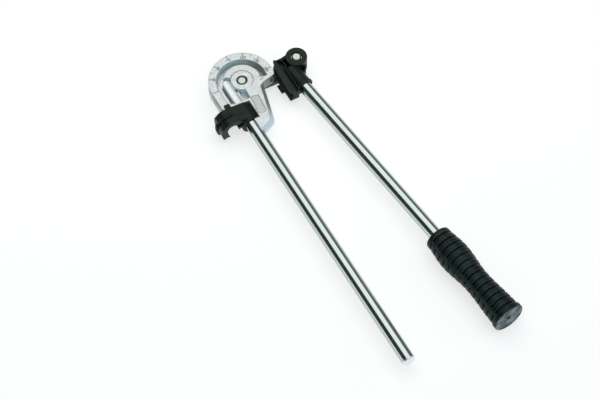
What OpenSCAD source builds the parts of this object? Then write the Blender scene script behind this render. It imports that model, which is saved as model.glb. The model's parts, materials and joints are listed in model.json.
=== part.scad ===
// Hand pipe bender with a fixed handle, a swinging lever and a hook, lying on its pin heads.
// Origin on the pivot axis at the resting surface, +Z up, fixed handle towards -Y.
// The lever is closed, with its eye at the end-of-scale mark on +X.

/* [Former] */
// Bend radius, from the pivot to the middle of the groove
bend_r = 38; // [36:0.5:44]
// Diameter of the bending groove
groove_d = 12.1; // [10:0.1:13]
// Distance that the groove's lips stay behind the middle of the work
lip_back = 0.1; // [0.05:0.05:0.5]
// Thickness of each groove lip at the rim
lip_t = 1.95; // [1.5:0.05:4]
// Length of the straight groove, from the pivot line to the cross wall's outer face
strip_len = 27.5; // [26:0.5:34]
// Wall between the bottom of the groove and the kidney recess
rim_web = 3.3; // [2.5:0.1:5]
// Width of the kidney recess
recess_w = 7.1; // [5:0.1:8]
// Depth of the kidney recess from the top face
recess_depth = 13; // [8:0.5:14]
// Depth of the channel in which the kidney recess runs on beside the finger rib
channel_depth = 6; // [4:0.5:9]
// Distance past the pivot line at which the channel starts
channel_from = 10; // [6:0.5:14]
// Width of the deep slot between channel and finger rib
channel_slot_w = 2.2; // [1.5:0.1:4]
// Angle at which the kidney recess ends on the right
recess_end_a = -14; // [-16:1:10]
// Radius of the hub
hub_r = 12.8; // [11:0.1:14]
// Height of the hub over the top face
hub_h = 0.8; // [0.3:0.1:1.5]
// Angle of the rim's rounded end
rim_end_a = -10.5; // [-12:0.5:-6]
// Radius of the rim's rounded end
rim_end_r = 5; // [3:0.5:6]
// Slope of the edge behind the rim's end
rim_end_slope = 12.5; // [6:0.5:16]
// Depth of the pocket round the finger rib
finger_pocket_depth = 6.5; // [4:0.5:9]
// Gap between the finger rib and the pocket's wall
finger_gap = 2.6; // [1.5:0.1:3]
// Drop from the top face to the crown of the finger rib
finger_drop = 2; // [1:0.1:3]
// Drop from the top face to the low web beside the finger rib
low_web_drop = 3.1; // [2:0.1:4]
// Half width of the finger rib
finger_r = 4.5; // [3:0.1:5]
// Radius of the finger rib's crown
finger_crown_r = 12; // [8:0.5:16]
// Distance that the finger rib reaches past the pivot line
finger_reach = 5.5; // [4:0.5:9]
// Thickness of the cross wall between finger rib and handle tube
cross_wall = 2.6; // [2:0.1:4]
// Depth of the deep pocket by the hub
deep_pocket_depth = 9; // [5:0.5:12]
// Width of the deep pocket by the hub
deep_pocket_w = 6.8; // [5:0.1:8]
// Distance from the pivot line to the deep pocket's near side
deep_pocket_side = 2.6; // [1:0.1:4]
// Wall between the deep pocket and the cross wall
deep_pocket_wall = 1.5; // [1:0.1:4]
// Height of the bare pad on the shank
pad_h = 0.6; // [0.3:0.1:1]
// Width of the bare pad on the shank
pad_w = 9; // [6:0.5:9.5]
// Length of the bare pad on the shank
pad_len = 24.5; // [16:0.5:26]
// Radius of the bare pad's corners
pad_round = 2.5; // [1:0.1:4]
// Angle by which the bare pad leans towards the notch
pad_lean = 6; // [0:0.5:8]
// Distance from the notch to the side of the bare pad
pad_side = 1; // [0.5:0.1:2]
// Distance that the bare pad starts ahead of the notch
pad_start = 1.7; // [0.5:0.1:5]
// Length of the saddle that holds the tube behind the hook
saddle_len = 15.4; // [14:0.1:26]
// Width of the sloping shoulder round the shank
shoulder_w = 4.5; // [2:0.1:5]
// Radius of the shank's lower corner at the top face
shank_corner_r = 5; // [3:0.1:6]
// Distance from the handle's axis to the middle of the shank's lower corner
shank_corner_x = 16.2; // [14:0.1:18]
// Distance from the saddle's end to the middle of the shank's lower corner
shank_corner_y = 10.7; // [9:0.1:13]
// Length of the straight edge behind the rim's end
rim_edge_len = 13.5; // [11:0.5:15]

/* [Fixed handle] */
// Outside diameter of both tubes
tube_d = 15; // [14:0.1:15.5]
// Wall thickness of both tubes
tube_wall = 1.5; // [1:0.1:2]
// Length of the fixed handle tube
handle_len = 370.5; // [250:0.5:450]
// Distance from the handle's axis to the straight groove
hook_reach = 21.3; // [20.5:0.1:22]
// Amount by which the tube is drawn down where hook and saddle sit on it
seat_relief = 0.2; // [0.1:0.05:0.4]
// Distance that the casting's spigot runs on in the tube past the cross pin
spigot_past = 7; // [4:0.5:20]
// Thickness of the end plug's visible cap
plug_cap = 2; // [1:0.1:5]
// Length of the end plug inside the tube
plug_len = 12; // [6:0.5:20]
// Diameter of the cross pins through the tubes
cross_pin_d = 4; // [3:0.1:5]
// Distance that the handle's cross pin reaches past the tube's axis
cross_pin_reach = 3; // [1:0.1:4]

/* [Hook] */
// Wall of the hook's sleeve round the tube
sleeve_wall = 3; // [2.4:0.1:3.4]
// Length of the hook's arms along the tube
hook_len = 21.4; // [19:0.1:24]
// Length of the hook's sleeve past the arms
sleeve_more = 2.6; // [0.5:0.1:4]
// Play of the hook between cross wall and saddle, at each end
hook_play = 0.3; // [0.2:0.05:0.6]
// Room between the work and the inside of the hook
hook_room = 0.4; // [0.3:0.05:0.8]
// Thickness of the hook over the work
hook_crown = 6; // [4:0.1:7]
// Height of the bridge between sleeve and crown
bridge_t = 5.6; // [4:0.1:7]
// Gap between the sleeve's foot and the work as the hook swings
foot_gap = 1.1; // [0.6:0.1:2]
// Thickness of the hook's front arm
hook_arm_t = 6.4; // [5:0.1:8]
// Amount by which the rear arm is thicker than the front arm
rear_arm_more = 1.2; // [0.5:0.1:2]
// Amount by which the ridge between the arms is thicker than the front arm
ridge_more = 3.6; // [2:0.1:4]
// Angle that the front arm reaches below the middle plane
front_arm_a = 18; // [10:1:24]
// Angle that the ridge reaches below the middle plane
ridge_a = 26; // [16:1:28]
// Angle that the rear arm reaches below the middle plane
rear_arm_a = 21; // [10:1:26]
// Width of the ridge between the arms
ridge_w = 2.6; // [1.5:0.1:4]
// Height of the ridge over the crown
ridge_h = 0.6; // [0.3:0.1:1]
// Width of the groove behind the ridge
arm_gap = 2.2; // [1:0.1:3]
// Depth of the groove behind the ridge
arm_gap_depth = 1.5; // [0.5:0.1:2.5]
// Height of the rear strap over the crown
strap_h = 0.5; // [0.3:0.1:1]
// Distance that the rear strap runs past the middle of the work
strap_past = 8.8; // [7:0.1:11]
// Reach of the rest tab over the former
tab_reach = 6; // [4:0.1:8]
// Width of the rest tab
tab_w = 6.6; // [4:0.1:7]
// Thickness of the rest tab
tab_t = 2.4; // [1.5:0.1:3]

/* [Link and pins] */
// Diameter of the pivot pin and the eye pin
pin_d = 9; // [7:0.1:9.6]
// Radius of the pin heads
pin_head_r = 7; // [6:0.1:9]
// Height of the pin heads
pin_head_h = 3.5; // [2:0.1:5]
// Thickness of the swing link
link_t = 6; // [4:0.1:8]
// Width of the swing link
link_w = 16; // [15.5:0.5:20]
// Thickness of the thrust washers
washer_t = 1.2; // [0.8:0.1:2]
// Radius of the thrust washers
washer_r = 7.6; // [7:0.1:7.7]
// Wall of the bushes round the pins
bush_wall = 2; // [1.4:0.1:2.4]
// Thickness of the retaining rings
ring_t = 1; // [0.8:0.1:1.2]
// Width of the retaining rings
ring_w = 0.9; // [0.8:0.1:1.6]
// Distance that the washers reach past the retaining rings
ring_washer_more = 0.5; // [0.2:0.1:0.8]
// Thickness of the washers under the retaining rings
ring_washer_t = 0.8; // [0.5:0.1:1]
// Length of each pin over its retaining ring
pin_over_ring = 0.9; // [0.7:0.05:1.5]
// Depth of the counterbore over each bush
counterbore_depth = 3; // [2.8:0.1:4]
// Running gap between faces that turn on each other
run_gap = 0.3; // [0.2:0.05:0.5]
// Radial clearance of the running fits
run_fit = 0.05; // [0.02:0.01:0.09]
// Radial clearance of the pieces that are held fast
held_fit = 0.03; // [0.01:0.01:0.05]

/* [Lever head] */
// Distance from the groove's line to the eye
eye_off = 30; // [29:0.1:33]
// Distance that the eye lies behind the pivot line
eye_back = 4; // [0:0.1:6]
// Radius of the eye boss
boss_r = 12.3; // [10.5:0.1:12.5]
// Height of the eye boss
boss_h = 20; // [19:0.5:24]
// Wall between the shoe's tongue and the lever tube
tongue_wall = 2.05; // [0.5:0.05:3]
// Angle of the lever to the fixed handle
lever_a = 6.7; // [3:0.1:10]
// Wall of the socket round the lever tube
socket_wall = 2.5; // [2:0.1:3]
// Distance along the lever from the eye to the socket's mouth
socket_end = 34; // [30:0.5:44]
// Distance along the lever from the eye to the tube's hidden end
tube_start = 12; // [10:0.5:14]
// Thickness of the socket's closed end
socket_back = 5.5; // [3:0.5:7]
// Height of the web above the middle plane
web_up = 5; // [3:0.1:6]
// Thickness of the backing rib beside the shoe
rib_t = 1.2; // [1:0.1:2]
// Width of the slot between shoe and backing rib
rib_slot = 3.4; // [2.5:0.1:4]
// Depth of the slot between shoe and backing rib
rib_slot_depth = 5; // [3:0.5:7]
// Sideways step of the backing rib beside the eye
rib_jog = 2.3; // [1:0.1:2.6]
// Distance from the eye to the step in the backing rib
rib_jog_back = 5.5; // [4:0.5:8]
// Distance from the shoe's front end to the front of the backing
backing_back = 1.6; // [1:0.1:5]
// Distance from the shoe's rear end to the web beside the socket
rib_web_back = 2; // [1:0.5:10]
// Thickness of the wall that joins the backing rib to the eye boss
arm_wall = 3; // [2:0.1:4]
// Thickness of the collar at the socket's mouth
collar_t = 0.7; // [0.3:0.1:1]
// Length of the collar at the socket's mouth
collar_len = 2.6; // [1.5:0.1:4]
// Distance along the lever from the eye to the end of the boss web
web_end = 20; // [17:0.5:24]
// Distance that the boss web stands out past the socket
web_more = 1.7; // [0.5:0.1:3]
// Wall round the cored pocket between boss and socket
core_wall = 1.5; // [1:0.1:2.5]
// Depth of the cored pocket between boss and socket
core_depth = 5; // [2:0.1:8]
// Distance along the lever from the socket's mouth to the cross pin
lever_pin_back = 9.5; // [6:0.5:12]

/* [Slide shoe] */
// Distance from the groove's line to the shoe's lips
shoe_gap = 1.3; // [1:0.1:2]
// Width of the shoe from its lips to its back
shoe_w = 6.8; // [6.4:0.1:8]
// Height of the shoe
shoe_h = 18; // [16:0.1:18]
// Diameter of the shoe's groove
shoe_groove_d = 12.4; // [11:0.1:13]
// Distance that the shoe reaches ahead of the pivot line
shoe_front = 6; // [3:0.5:8]
// Distance that the shoe reaches behind the pivot line
shoe_rear = 42; // [38:0.5:48]
// Width of the flare at the shoe's front end
flare_w = 4; // [2:0.1:5]
// Length of the flare at the shoe's front end
flare_len = 17; // [10:0.5:20]
// Reach of the keeper tab under the groove
keeper_reach = 3.8; // [2:0.1:4]
// Thickness of the keeper tab
keeper_t = 2; // [1.4:0.1:2.4]
// Length of the keeper tab
keeper_len = 11.5; // [8:0.5:12]
// Depth of the shoe's tongue in the lever head
tongue_depth = 2; // [1.2:0.1:3]
// Height of the shoe's tongue
tongue_h = 7; // [5:0.1:7.4]
// Height of the shoe under its tongue
tongue_up = 4; // [3:0.1:4.5]
// Distance from each end of the shoe to its tongue
tongue_inset = 4; // [2:0.5:8]
// Distance from the shoe's rear end to its lock pin
lock_pin_from_rear = 14; // [10:0.5:20]
// Distance from the flare to the keeper tab
keeper_start = 6; // [2:0.5:10]

/* [Grip] */
// Length of the grip
grip_len = 127; // [110:0.5:150]
// Distance along the lever from the eye to the grip
grip_start = 278.5; // [200:0.5:340]
// Diameter of the grip at its collar
grip_collar_d = 30; // [26:0.1:32]
// Diameter of the grip at its swell
grip_swell_d = 35.7; // [32:0.1:37]
// Diameter of the grip at its waist
grip_waist_d = 29.2; // [26:0.1:32]
// Diameter of the grip just before its end flange
grip_flare_d = 34.8; // [31:0.1:35]
// Diameter of the end flange
grip_flange_d = 37.4; // [35:0.1:37.8]
// Length of the smooth collar
grip_collar_len = 6; // [4:0.5:12]
// Distance from the grip's mouth to its swell
grip_swell_at = 31.5; // [26:0.5:40]
// Distance from the grip's mouth to its waist
grip_waist_at = 71; // [62:0.5:84]
// Length of the end flange
grip_flange_len = 7; // [5:0.5:10]
// Rubber behind the end of the tube
grip_end_wall = 8; // [6:0.5:14]
// Number of grooves
grip_grooves = 14; // [10:1:16]
// Width of the grooves between the ribs
grip_groove_w = 2.8; // [1.5:0.1:3.2]
// Depth of the grooves between the ribs
grip_groove_depth = 2.2; // [1:0.1:2.5]
// Diameter of the vent hole in the end
vent_d = 5; // [3:0.1:8]

/* [Hidden] */
$fn = 72;

// Cuts run past the faces that they open by this much
past = 1;
// Thin slices that a shoulder is stretched between
slice = 0.02;

// Heights
former_t = groove_d + 2 * lip_t;
link_z = pin_head_h;
link_top = link_z + link_t;
turn_z = link_top + washer_t + run_gap;
z_mid = turn_z + former_t / 2;
z_top = turn_z + former_t;

// Round fits
pin_r = pin_d / 2;
bush_r = pin_r + run_fit + bush_wall;
ring_groove = 0.4;
ring_in = pin_r - ring_groove;
ring_out = ring_in + ring_w + ring_groove;
ring_washer_r = ring_out + ring_washer_more;
counterbore_r = ring_washer_r + run_gap;
tube_r = tube_d / 2;
tube_in = tube_r - tube_wall;
seat_r = tube_r - seat_relief;

// Places in plan
handle_x = hook_reach - bend_r;
sleeve_r = seat_r + run_fit + sleeve_wall;
notch_x = handle_x + sleeve_r + run_gap;
notch_end = -strip_len - hook_len - sleeve_more - 2 * hook_play;
saddle_end = notch_end - saddle_len;
shank_end = saddle_end - shoulder_w;
seat_len = -strip_len - shank_end + run_gap;
cross_pin_y = notch_end - saddle_len / 2;
spigot_end = cross_pin_y - cross_pin_d / 2 - spigot_past;
recess_out = bend_r - groove_d / 2 - rim_web;
recess_in = recess_out - recess_w;
channel_end = -strip_len + cross_wall + finger_r / 2;
eye_x = bend_r + eye_off;
eye_y = -eye_back;
eye_link_a = atan2(eye_y, eye_x);
eye_link_len = norm([eye_x, eye_y]);
shoe_lip_x = bend_r + shoe_gap;
shoe_back_x = shoe_lip_x + shoe_w;
rib_x = shoe_back_x + rib_slot;
backing_front = shoe_front - backing_back;
jog_y = eye_y - rib_jog_back;
boss_top = turn_z + boss_h;
socket_r = tube_r + held_fit + socket_wall;
socket_floor = link_top + run_gap;
tube_lever_end = grip_start + grip_len - grip_end_wall;

// Rim end: a round corner a hair inside the rim, then a straight edge back to the shank
rim_r = bend_r - lip_back;
rim_step = 0.05;
rim_c = (rim_r - rim_end_r - rim_step) * [cos(rim_end_a), sin(rim_end_a)];
rim_t = rim_c + (rim_end_r - rim_step) * [sin(rim_end_slope), -cos(rim_end_slope)];
rim_inner = rim_t - rim_edge_len * [cos(rim_end_slope), sin(rim_end_slope)];

// Places along the lever: s runs from beside the eye towards the grip
tongue_tip_x = shoe_back_x + tongue_depth;
tube_side = tube_r * cos(lever_a) - tube_start * sin(lever_a);
lever_foot = [tongue_tip_x + tongue_wall + tube_side, eye_y];
module along_lever(s) {
    translate([lever_foot[0], lever_foot[1], z_mid]) rotate([0, 0, lever_a])
        translate([0, -s, 0]) rotate([90, 0, 0]) children();
}

// A bar along Y, from y = y0 towards -Y
module along_y(x, y0) {
    translate([x, y0, z_mid]) rotate([90, 0, 0]) children();
}

// Tube or washer, open along Z
module ring(r_out, r_in, h) {
    difference() {
        cylinder(r = r_out, h = h);
        translate([0, 0, -past]) cylinder(r = r_in, h = h + 2 * past);
    }
}

// Bend former, seen from above

// Round rim, straight strip and the flank behind the rim's end
module former_plan() {
    reach = 3 * bend_r;
    intersection() {
        circle(r = rim_r, $fn = 180);
        polygon([[0, 0], reach * [cos(rim_end_a), sin(rim_end_a)], [reach, reach],
            [-reach, reach], [-reach, 0]]);
    }
    translate(rim_c) circle(r = rim_end_r);
    polygon([[-rim_r, 0], [-rim_r, -strip_len], [notch_x, -strip_len], rim_inner, rim_t, rim_c,
        [0, rim_r / 2]]);
}

// Shank outline at one height, grown by the shoulder
module shank_slice(z, grow) {
    saddle_x = handle_x + tube_r / 2;
    translate([0, 0, z]) linear_extrude(height = slice) {
        polygon([[saddle_x, rim_inner[1]], [rim_inner[0] - shoulder_w + grow, rim_inner[1]],
            [saddle_x, saddle_end - grow]]);
        translate([handle_x + shank_corner_x, saddle_end + shank_corner_y])
            circle(r = shank_corner_r + grow, $fn = 32);
    }
}

module shank() {
    hull() {
        shank_slice(turn_z, 0);
        shank_slice(z_mid - lip_t, shoulder_w);
        shank_slice(z_mid + lip_t, shoulder_w);
        shank_slice(z_top - slice, 0);
    }
}

// Kidney recess in plan: an arc that runs on straight beside the finger rib
module kidney_plan() {
    reach = 3 * bend_r;
    intersection() {
        difference() {
            circle(r = recess_out, $fn = 120);
            circle(r = recess_in, $fn = 120);
        }
        polygon([[0, 0], reach * [cos(recess_end_a), sin(recess_end_a)], [reach, reach],
            [-reach, reach], [-reach, 0]]);
    }
    translate([-recess_out, channel_end]) square([recess_w, -channel_end]);
}

// Deep part of the kidney recess: the arc as far as the channel, then a slot along the finger rib
module deep_kidney_plan() {
    reach = 3 * bend_r;
    intersection() {
        kidney_plan();
        union() {
            polygon([[-reach, channel_from], [0, channel_from], [0, -reach], [reach, -reach],
                [reach, reach], [-reach, reach]]);
            translate([-recess_in - channel_slot_w, -reach]) square([reach, 2 * reach]);
        }
    }
}

// Pocket in which the finger rib stands: a slot round its end and along the hub
module finger_pocket_plan() {
    pocket_end = -strip_len + cross_wall;
    hub_end = -hub_r / sqrt(2);
    translate([handle_x, finger_reach]) circle(r = finger_r + finger_gap);
    translate([handle_x, hub_end]) square([finger_r + finger_gap, finger_reach - hub_end]);
    translate([-recess_in - past, pocket_end])
        square([recess_in + past + handle_x + finger_r, finger_reach - pocket_end]);
}

// Web from finger rib to deep pocket and hub, a little below the top face
module low_web_plan() {
    pocket_end = -strip_len + cross_wall;
    web_side = handle_x + finger_r;
    translate([web_side, pocket_end]) square([-deep_pocket_side - web_side, -pocket_end]);
}

// Deep pocket from the hub to the cross wall
module deep_pocket_plan() {
    pocket_end = -strip_len + cross_wall + deep_pocket_wall;
    translate([-deep_pocket_side - deep_pocket_w, pocket_end]) square([deep_pocket_w, -pocket_end]);
}

// Finger rib: a bar with a round end in plan, under a shallow crown
module finger_plan() {
    rib_len = finger_reach + strip_len - cross_wall / 2;
    translate([handle_x, finger_reach]) circle(r = finger_r);
    translate([handle_x - finger_r, finger_reach - rib_len]) square([2 * finger_r, rib_len]);
}

module finger_rib() {
    crown_z = z_top - finger_drop - finger_crown_r;
    crown_end = finger_reach + finger_r + past;
    intersection() {
        translate([0, 0, turn_z + past]) linear_extrude(height = former_t) finger_plan();
        translate([handle_x, crown_end, crown_z]) rotate([90, 0, 0])
            cylinder(r = finger_crown_r, h = crown_end + strip_len);
    }
}

// Bare pad with round corners on the shank
module shank_pad() {
    half = [pad_w / 2, pad_len / 2];
    corner = half - pad_round * [1, 1];
    pad_x = notch_x + pad_side + half[0] + half[1] * sin(pad_lean);
    pad_y = -strip_len + pad_start - half[1] * cos(pad_lean);
    translate([pad_x, pad_y, z_top - pad_h]) rotate([0, 0, -pad_lean]) linear_extrude(height = 2 * pad_h) {
        for (i = [-1, 1], k = [-1, 1])
            translate([i * corner[0], k * corner[1]]) circle(r = pad_round);
        translate([-half[0], -corner[1]]) square([2 * half[0], 2 * corner[1]]);
        translate([-corner[0], -half[1]]) square([2 * corner[0], 2 * half[1]]);
    }
}

// Bending groove: round the rim and on along the straight strip
module groove_cut() {
    end_a = rim_end_a - 15;
    translate([0, 0, z_mid]) mirror([1, 0, 0]) rotate_extrude(angle = 180 - end_a, $fn = 180)
        translate([bend_r, 0]) circle(d = groove_d);
    along_y(-bend_r, 0) cylinder(d = groove_d, h = strip_len + past);
}

// Cut of a given depth into the top face
module sunk(depth) {
    translate([0, 0, z_top - depth]) linear_extrude(height = depth + past) children();
}

module bend_former() {
    color("gainsboro") difference() {
        union() {
            difference() {
                union() {
                    translate([0, 0, turn_z]) linear_extrude(height = former_t) former_plan();
                    shank();
                }
                sunk(recess_depth) deep_kidney_plan();
                sunk(channel_depth) kidney_plan();
                sunk(finger_pocket_depth) finger_pocket_plan();
                sunk(low_web_drop) low_web_plan();
                sunk(deep_pocket_depth) deep_pocket_plan();
                groove_cut();
                // Room for the hook's sleeve, and the saddle's bed for the tube
                translate([handle_x - 2 * sleeve_r, notch_end, turn_z - past])
                    cube([notch_x - handle_x + 2 * sleeve_r, -strip_len - notch_end,
                        former_t + 2 * past]);
                along_y(handle_x, -strip_len) cylinder(r = seat_r + held_fit, h = handle_len);
            }
            finger_rib();
            translate([0, 0, turn_z]) cylinder(r = hub_r, h = former_t + hub_h);
            along_y(handle_x, -strip_len + cross_wall / 2)
                cylinder(r = tube_in - held_fit, h = cross_wall / 2 - strip_len - spigot_end);
            shank_pad();
        }
        bush_seat(former_t);
        handle_pin_hole();
    }
}

// Bush bore from below and the counterbore over it, in a body of the given height
module bush_seat(height) {
    floor_z = turn_z + height - counterbore_depth;
    translate([0, 0, turn_z - past]) cylinder(r = bush_r + held_fit, h = floor_z - turn_z + 2 * past);
    translate([0, 0, floor_z]) cylinder(r = counterbore_r, h = counterbore_depth + hub_h + past);
}

// Blind hole for the cross pin, from below through the tube into the spigot
module handle_pin_hole() {
    translate([handle_x, cross_pin_y, z_mid - tube_r - past])
        cylinder(r = cross_pin_d / 2 + held_fit, h = tube_r + past + cross_pin_reach + run_gap);
}

module pivot_bush() {
    color("darkgoldenrod") translate([0, 0, turn_z])
        ring(bush_r, pin_r + run_fit, former_t - counterbore_depth);
}

module pivot_top_washer() {
    color("dimgray") translate([0, 0, z_top - counterbore_depth])
        ring(ring_washer_r, pin_r + run_fit, ring_washer_t);
}

// Fixed handle

module fixed_handle_tube() {
    color("silver") difference() {
        union() {
            along_y(handle_x, -strip_len) ring(seat_r, tube_in, seat_len);
            along_y(handle_x, -strip_len - seat_len) ring(tube_r, tube_in, handle_len - seat_len);
        }
        handle_pin_hole();
    }
}

module fixed_handle_plug() {
    chamfer = plug_cap / 2;
    color("whitesmoke") along_y(handle_x, -strip_len - handle_len + plug_len) union() {
        cylinder(r = tube_in - held_fit, h = plug_len + chamfer);
        translate([0, 0, plug_len]) cylinder(r = tube_r, h = plug_cap - chamfer);
        translate([0, 0, plug_len + plug_cap - chamfer])
            cylinder(r1 = tube_r, r2 = tube_r - chamfer, h = chamfer);
    }
}

module handle_cross_pin() {
    color("gray") translate([handle_x, cross_pin_y, z_mid - seat_r])
        cylinder(d = cross_pin_d, h = seat_r + cross_pin_reach);
}

// Pipe hook: plan across the tube, u from the handle's axis and w from the middle plane

work_room = groove_d / 2 + hook_room;
arm_in = hook_reach + work_room;
crown_r = work_room + hook_crown;
bridge_low = sleeve_r - bridge_t;
arm_root_w = crown_r / 2;
sleeve_drop = hook_reach - groove_d / 2 - sleeve_r - foot_gap;
front_arm_dir = [cos(front_arm_a), sin(front_arm_a)];
ridge_dir = [cos(ridge_a), sin(ridge_a)];
rear_arm_dir = [cos(rear_arm_a), sin(rear_arm_a)];

// Sleeve round the tube, with its lower foot
module sleeve_section() {
    foot_side = sleeve_r * 0.97;
    circle(r = sleeve_r);
    translate([0, -sleeve_drop]) circle(r = sleeve_r);
    translate([-foot_side, -sleeve_drop]) square([2 * foot_side, sleeve_drop]);
}

// Section with an arm of the given thickness that ends in the given direction, under a crown
module hook_section(arm_t, arm_dir, crown) {
    arm_out = arm_in + arm_t;
    root_u = hook_arm_t / 3 - arm_in;
    difference() {
        union() {
            sleeve_section();
            // Crown over the work and the bridge to the sleeve
            difference() {
                translate([-hook_reach, 0]) circle(r = crown);
                translate([-hook_reach, bridge_low + run_gap - 2 * crown]) square(2 * crown);
            }
            polygon([[0, bridge_low], [0, sleeve_r], [-hook_reach, min(crown, crown_r)],
                [-hook_reach, bridge_low]]);
            // Outer arm: a piece of a ring about the handle's axis
            intersection() {
                circle(r = arm_out, $fn = 144);
                polygon([[root_u, 0], [root_u, arm_root_w], [-2 * arm_out, arm_root_w],
                    -2 * arm_out * arm_dir, [0, 0]]);
            }
        }
        // The work's room, and the way along which the hook swings off it
        translate([-hook_reach, 0]) circle(r = work_room);
        intersection() {
            difference() {
                circle(r = arm_in, $fn = 144);
                circle(r = hook_reach - work_room, $fn = 144);
            }
            translate([-2 * arm_out, -2 * arm_out]) square(2 * arm_out);
        }
    }
}

// Rear band: the thicker arm and a strap that stands up over the bridge
module rear_section() {
    crown = crown_r + strap_h;
    strap_u = strap_past - hook_reach;
    strap_top = crown - run_gap / 2;
    hook_section(hook_arm_t + rear_arm_more, rear_arm_dir, crown);
    polygon([[-hook_reach, bridge_low + hook_crown / 2], [-hook_reach, strap_top], [strap_u, strap_top],
        [strap_u, bridge_low + hook_crown / 2]]);
}

module pipe_hook() {
    y0 = -strip_len - hook_play;
    arm_len = (hook_len - ridge_w - arm_gap) / 2;
    gap_arm_t = groove_d / 4;
    tab_u = -hook_reach + groove_d / 2 - tab_w / 2;
    color("#26282a") difference() {
        union() {
            along_y(handle_x, y0) linear_extrude(height = arm_len)
                hook_section(hook_arm_t, front_arm_dir, crown_r);
            along_y(handle_x, y0 - arm_len) linear_extrude(height = ridge_w)
                hook_section(hook_arm_t + ridge_more, ridge_dir, crown_r + ridge_h);
            along_y(handle_x, y0 - arm_len - ridge_w) linear_extrude(height = arm_gap)
                intersection() {
                    hook_section(gap_arm_t, front_arm_dir, crown_r - arm_gap_depth);
                    circle(r = arm_in + gap_arm_t, $fn = 144);
                }
            along_y(handle_x, y0 - arm_len - ridge_w - arm_gap) linear_extrude(height = arm_len)
                rear_section();
            along_y(handle_x, y0 - hook_len) linear_extrude(height = sleeve_more) sleeve_section();
            // Rest tab, which lies on the former's strip
            translate([handle_x + tab_u, y0 - arm_len, z_top + run_gap])
                cube([tab_w, arm_len + tab_reach, tab_t]);
        }
        along_y(handle_x, y0 + past)
            cylinder(r = seat_r + run_fit, h = hook_len + sleeve_more + 2 * past);
    }
}

// Swing link and pins

module swing_link() {
    color("darkgray") translate([0, 0, link_z]) rotate([0, 0, eye_link_a]) linear_extrude(height = link_t)
        difference() {
            union() {
                circle(d = link_w);
                translate([eye_link_len, 0]) circle(d = link_w);
                translate([0, -link_w / 2]) square([eye_link_len, link_w]);
            }
            circle(r = pin_r + held_fit);
            translate([eye_link_len, 0]) circle(r = pin_r + held_fit);
        }
}

// Headed pin with a groove for its retaining ring
module headed_pin(top_z, ring_z) {
    chamfer = 0.6;
    difference() {
        union() {
            cylinder(r = pin_head_r, h = pin_head_h);
            cylinder(r = pin_r, h = top_z - chamfer);
            translate([0, 0, top_z - chamfer]) cylinder(r1 = pin_r, r2 = pin_r - chamfer, h = chamfer);
        }
        translate([0, 0, ring_z - held_fit]) ring(pin_r + past, ring_in, ring_t + 2 * held_fit);
    }
}

// Open ring with a gap on one side
module retaining_ring() {
    gap = ring_in * 0.9;
    difference() {
        ring(ring_out, ring_in + held_fit, ring_t);
        translate([0, -gap / 2, -past]) cube([ring_out + past, gap, ring_t + 2 * past]);
    }
}

pivot_ring_z = z_top - counterbore_depth + ring_washer_t + run_gap / 2;
eye_ring_z = boss_top - counterbore_depth + ring_washer_t + run_gap / 2;

module pivot_pin() {
    color("lightgray") headed_pin(pivot_ring_z + ring_t + pin_over_ring, pivot_ring_z);
}

module pivot_retaining_ring() {
    color("#3a3a3a") translate([0, 0, pivot_ring_z]) rotate([0, 0, 120]) retaining_ring();
}

module pivot_thrust_washer() {
    color("gray") translate([0, 0, link_top]) ring(washer_r, pin_r + held_fit, washer_t);
}

module eye_pin() {
    color("lightgray") translate([eye_x, eye_y, 0])
        headed_pin(eye_ring_z + ring_t + pin_over_ring, eye_ring_z);
}

module eye_retaining_ring() {
    color("silver") translate([eye_x, eye_y, eye_ring_z]) rotate([0, 0, 30]) retaining_ring();
}

module eye_thrust_washer() {
    color("gray") translate([eye_x, eye_y, link_top]) ring(washer_r, pin_r + held_fit, washer_t);
}

// Lever head

// Places of the tongue, its lock pin, the arm wall and the lever's cross pin
shoe_z = z_mid - shoe_h / 2;
tongue_z = shoe_z + tongue_up;
lock_pin_x = shoe_back_x + tongue_depth / 2;
lock_pin_y = -shoe_rear + lock_pin_from_rear;
arm_y = eye_y + boss_r * 0.9;
lever_pin_at = socket_end - lever_pin_back;
lever_pin_top = tube_r + socket_wall / 2;

// Block that takes the shoe's tongue, with the stepped backing rib along its far edge
module shoe_backing() {
    slot_rear = -shoe_rear - past;
    slot_end = backing_front - rib_t;
    slot_z = shoe_z + shoe_h - rib_slot_depth;
    difference() {
        union() {
            translate([shoe_back_x, -shoe_rear, shoe_z])
                cube([rib_slot + rib_t, shoe_rear + backing_front, shoe_h]);
            translate([rib_x, jog_y, shoe_z])
                cube([rib_jog + rib_t, backing_front - jog_y, shoe_h]);
        }
        translate([shoe_back_x - past, slot_rear, slot_z])
            cube([rib_slot + past, slot_end - slot_rear, rib_slot_depth + past]);
        translate([rib_x - past, jog_y + rib_t, slot_z])
            cube([rib_jog + past, slot_end - jog_y - rib_t, rib_slot_depth + past]);
    }
}

// Wall from the backing rib's front end into the eye boss
module arm_wall_plan() {
    front = backing_front - rib_t / 2;
    polygon([[rib_x, front - arm_wall], [rib_x, front], [eye_x, arm_y], [eye_x, arm_y - arm_wall]]);
}

// Web between boss and socket, drawn in from its edge by the inset
module boss_web_plan(inset) {
    hull() {
        translate([eye_x, eye_y]) circle(r = boss_r - past - inset, $fn = 32);
        translate(lever_foot) rotate([0, 0, lever_a]) translate([0, inset - web_end])
            square([socket_r + web_more - inset, web_end / 4]);
    }
}

module boss_web() {
    web_top = z_mid + web_up;
    difference() {
        translate([0, 0, turn_z]) linear_extrude(height = web_top - turn_z) boss_web_plan(0);
        translate([0, 0, web_top - core_depth]) linear_extrude(height = core_depth + past)
            boss_web_plan(core_wall);
    }
}

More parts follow.
